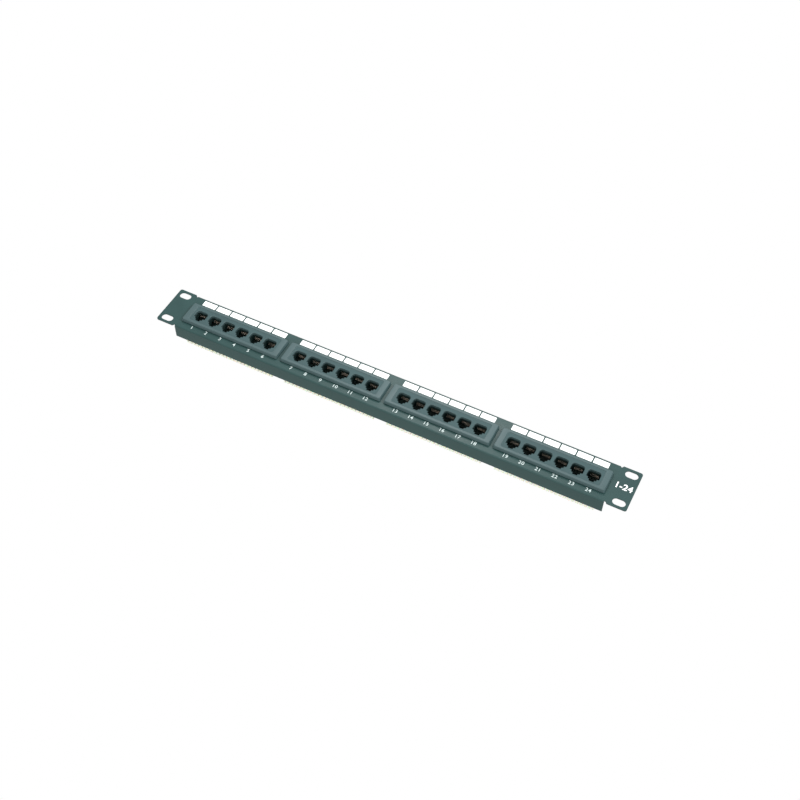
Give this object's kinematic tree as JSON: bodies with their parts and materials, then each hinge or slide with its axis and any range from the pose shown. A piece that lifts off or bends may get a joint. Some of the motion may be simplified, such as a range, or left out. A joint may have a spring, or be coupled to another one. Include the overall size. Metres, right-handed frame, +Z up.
{
  "type": "patch panel",
  "caption": "Rack patch panel: folded steel front with rack ears, ganged modular jack blocks in raised bezels, circuit boards and punch-down blocks behind.",
  "frame": {"origin": "midway between the two ears, on the plane of their rear faces, which lies against the rack's rails", "axes": "+X along the panel to the right as seen from the front, +Y from the front towards the back, +Z up as installed"},
  "size_m": [0.4826, 0.0298, 0.0436],
  "materials": {
    "powder_coated_steel": "satin powder coat, blue-grey black",
    "bezel_plastic": "fine moulded texture, blue-grey",
    "housing_plastic": "moulded, near black",
    "contact_gold": "gold-plated phosphor bronze",
    "board_laminate": "glass-epoxy laminate with solder mask",
    "idc_plastic": "moulded polycarbonate, ivory",
    "zinc_screw": "bright zinc plate"
  },
  "bodies": {
    "panel": {"front_panel": "powder_coated_steel", "module_1_bezel": "bezel_plastic", "module_1_jack_housing": "housing_plastic", "module_1_circuit_board": "board_laminate", "module_1_idc_block_upper": "idc_plastic", "module_1_idc_block_lower": "idc_plastic", "module_1_screw_left": "zinc_screw", "module_1_screw_right": "zinc_screw", "module_2_bezel": "bezel_plastic", "module_2_jack_housing": "housing_plastic", "module_2_circuit_board": "board_laminate", "module_2_idc_block_upper": "idc_plastic", "module_2_idc_block_lower": "idc_plastic", "module_2_screw_left": "zinc_screw", "module_2_screw_right": "zinc_screw", "module_3_bezel": "bezel_plastic", "module_3_jack_housing": "housing_plastic", "module_3_circuit_board": "board_laminate", "module_3_idc_block_upper": "idc_plastic", "module_3_idc_block_lower": "idc_plastic", "module_3_screw_left": "zinc_screw", "module_3_screw_right": "zinc_screw", "module_4_bezel": "bezel_plastic", "module_4_jack_housing": "housing_plastic", "module_4_circuit_board": "board_laminate", "module_4_idc_block_upper": "idc_plastic", "module_4_idc_block_lower": "idc_plastic", "module_4_screw_left": "zinc_screw", "module_4_screw_right": "zinc_screw"},
    "port_01": {"port_01_contacts": "contact_gold"},
    "port_02": {"port_02_contacts": "contact_gold"},
    "port_03": {"port_03_contacts": "contact_gold"},
    "port_04": {"port_04_contacts": "contact_gold"},
    "port_05": {"port_05_contacts": "contact_gold"},
    "port_06": {"port_06_contacts": "contact_gold"},
    "port_07": {"port_07_contacts": "contact_gold"},
    "port_08": {"port_08_contacts": "contact_gold"},
    "port_09": {"port_09_contacts": "contact_gold"},
    "port_10": {"port_10_contacts": "contact_gold"},
    "port_11": {"port_11_contacts": "contact_gold"},
    "port_12": {"port_12_contacts": "contact_gold"},
    "port_13": {"port_13_contacts": "contact_gold"},
    "port_14": {"port_14_contacts": "contact_gold"},
    "port_15": {"port_15_contacts": "contact_gold"},
    "port_16": {"port_16_contacts": "contact_gold"},
    "port_17": {"port_17_contacts": "contact_gold"},
    "port_18": {"port_18_contacts": "contact_gold"},
    "port_19": {"port_19_contacts": "contact_gold"},
    "port_20": {"port_20_contacts": "contact_gold"},
    "port_21": {"port_21_contacts": "contact_gold"},
    "port_22": {"port_22_contacts": "contact_gold"},
    "port_23": {"port_23_contacts": "contact_gold"},
    "port_24": {"port_24_contacts": "contact_gold"}
  },
  "joints": [
    {"name": "port_01_spring", "type": "hinge", "parent": "panel", "child": "port_01", "pos_m": [-0.2032, 0.0019, 0.0041], "axis": [1, 0, 0], "range_deg": [0, 16], "stiffness_Nm_per_rad": 0.2, "springref_deg": -2.86},
    {"name": "port_02_spring", "type": "hinge", "parent": "panel", "child": "port_02", "pos_m": [-0.1878, 0.0019, 0.0041], "axis": [1, 0, 0], "range_deg": [0, 16], "stiffness_Nm_per_rad": 0.2, "springref_deg": -2.86},
    {"name": "port_03_spring", "type": "hinge", "parent": "panel", "child": "port_03", "pos_m": [-0.1724, 0.0019, 0.0041], "axis": [1, 0, 0], "range_deg": [0, 16], "stiffness_Nm_per_rad": 0.2, "springref_deg": -2.86},
    {"name": "port_04_spring", "type": "hinge", "parent": "panel", "child": "port_04", "pos_m": [-0.157, 0.0019, 0.0041], "axis": [1, 0, 0], "range_deg": [0, 16], "stiffness_Nm_per_rad": 0.2, "springref_deg": -2.86},
    {"name": "port_05_spring", "type": "hinge", "parent": "panel", "child": "port_05", "pos_m": [-0.1416, 0.0019, 0.0041], "axis": [1, 0, 0], "range_deg": [0, 16], "stiffness_Nm_per_rad": 0.2, "springref_deg": -2.86},
    {"name": "port_06_spring", "type": "hinge", "parent": "panel", "child": "port_06", "pos_m": [-0.1262, 0.0019, 0.0041], "axis": [1, 0, 0], "range_deg": [0, 16], "stiffness_Nm_per_rad": 0.2, "springref_deg": -2.86},
    {"name": "port_07_spring", "type": "hinge", "parent": "panel", "child": "port_07", "pos_m": [-0.0934, 0.0019, 0.0041], "axis": [1, 0, 0], "range_deg": [0, 16], "stiffness_Nm_per_rad": 0.2, "springref_deg": -2.86},
    {"name": "port_08_spring", "type": "hinge", "parent": "panel", "child": "port_08", "pos_m": [-0.078, 0.0019, 0.0041], "axis": [1, 0, 0], "range_deg": [0, 16], "stiffness_Nm_per_rad": 0.2, "springref_deg": -2.86},
    {"name": "port_09_spring", "type": "hinge", "parent": "panel", "child": "port_09", "pos_m": [-0.0626, 0.0019, 0.0041], "axis": [1, 0, 0], "range_deg": [0, 16], "stiffness_Nm_per_rad": 0.2, "springref_deg": -2.86},
    {"name": "port_10_spring", "type": "hinge", "parent": "panel", "child": "port_10", "pos_m": [-0.0472, 0.0019, 0.0041], "axis": [1, 0, 0], "range_deg": [0, 16], "stiffness_Nm_per_rad": 0.2, "springref_deg": -2.86},
    {"name": "port_11_spring", "type": "hinge", "parent": "panel", "child": "port_11", "pos_m": [-0.0318, 0.0019, 0.0041], "axis": [1, 0, 0], "range_deg": [0, 16], "stiffness_Nm_per_rad": 0.2, "springref_deg": -2.86},
    {"name": "port_12_spring", "type": "hinge", "parent": "panel", "child": "port_12", "pos_m": [-0.0164, 0.0019, 0.0041], "axis": [1, 0, 0], "range_deg": [0, 16], "stiffness_Nm_per_rad": 0.2, "springref_deg": -2.86},
    {"name": "port_13_spring", "type": "hinge", "parent": "panel", "child": "port_13", "pos_m": [0.0164, 0.0019, 0.0041], "axis": [1, 0, 0], "range_deg": [0, 16], "stiffness_Nm_per_rad": 0.2, "springref_deg": -2.86},
    {"name": "port_14_spring", "type": "hinge", "parent": "panel", "child": "port_14", "pos_m": [0.0318, 0.0019, 0.0041], "axis": [1, 0, 0], "range_deg": [0, 16], "stiffness_Nm_per_rad": 0.2, "springref_deg": -2.86},
    {"name": "port_15_spring", "type": "hinge", "parent": "panel", "child": "port_15", "pos_m": [0.0472, 0.0019, 0.0041], "axis": [1, 0, 0], "range_deg": [0, 16], "stiffness_Nm_per_rad": 0.2, "springref_deg": -2.86},
    {"name": "port_16_spring", "type": "hinge", "parent": "panel", "child": "port_16", "pos_m": [0.0626, 0.0019, 0.0041], "axis": [1, 0, 0], "range_deg": [0, 16], "stiffness_Nm_per_rad": 0.2, "springref_deg": -2.86},
    {"name": "port_17_spring", "type": "hinge", "parent": "panel", "child": "port_17", "pos_m": [0.078, 0.0019, 0.0041], "axis": [1, 0, 0], "range_deg": [0, 16], "stiffness_Nm_per_rad": 0.2, "springref_deg": -2.86},
    {"name": "port_18_spring", "type": "hinge", "parent": "panel", "child": "port_18", "pos_m": [0.0934, 0.0019, 0.0041], "axis": [1, 0, 0], "range_deg": [0, 16], "stiffness_Nm_per_rad": 0.2, "springref_deg": -2.86},
    {"name": "port_19_spring", "type": "hinge", "parent": "panel", "child": "port_19", "pos_m": [0.1262, 0.0019, 0.0041], "axis": [1, 0, 0], "range_deg": [0, 16], "stiffness_Nm_per_rad": 0.2, "springref_deg": -2.86},
    {"name": "port_20_spring", "type": "hinge", "parent": "panel", "child": "port_20", "pos_m": [0.1416, 0.0019, 0.0041], "axis": [1, 0, 0], "range_deg": [0, 16], "stiffness_Nm_per_rad": 0.2, "springref_deg": -2.86},
    {"name": "port_21_spring", "type": "hinge", "parent": "panel", "child": "port_21", "pos_m": [0.157, 0.0019, 0.0041], "axis": [1, 0, 0], "range_deg": [0, 16], "stiffness_Nm_per_rad": 0.2, "springref_deg": -2.86},
    {"name": "port_22_spring", "type": "hinge", "parent": "panel", "child": "port_22", "pos_m": [0.1724, 0.0019, 0.0041], "axis": [1, 0, 0], "range_deg": [0, 16], "stiffness_Nm_per_rad": 0.2, "springref_deg": -2.86},
    {"name": "port_23_spring", "type": "hinge", "parent": "panel", "child": "port_23", "pos_m": [0.1878, 0.0019, 0.0041], "axis": [1, 0, 0], "range_deg": [0, 16], "stiffness_Nm_per_rad": 0.2, "springref_deg": -2.86},
    {"name": "port_24_spring", "type": "hinge", "parent": "panel", "child": "port_24", "pos_m": [0.2032, 0.0019, 0.0041], "axis": [1, 0, 0], "range_deg": [0, 16], "stiffness_Nm_per_rad": 0.2, "springref_deg": -2.86}
  ]
}
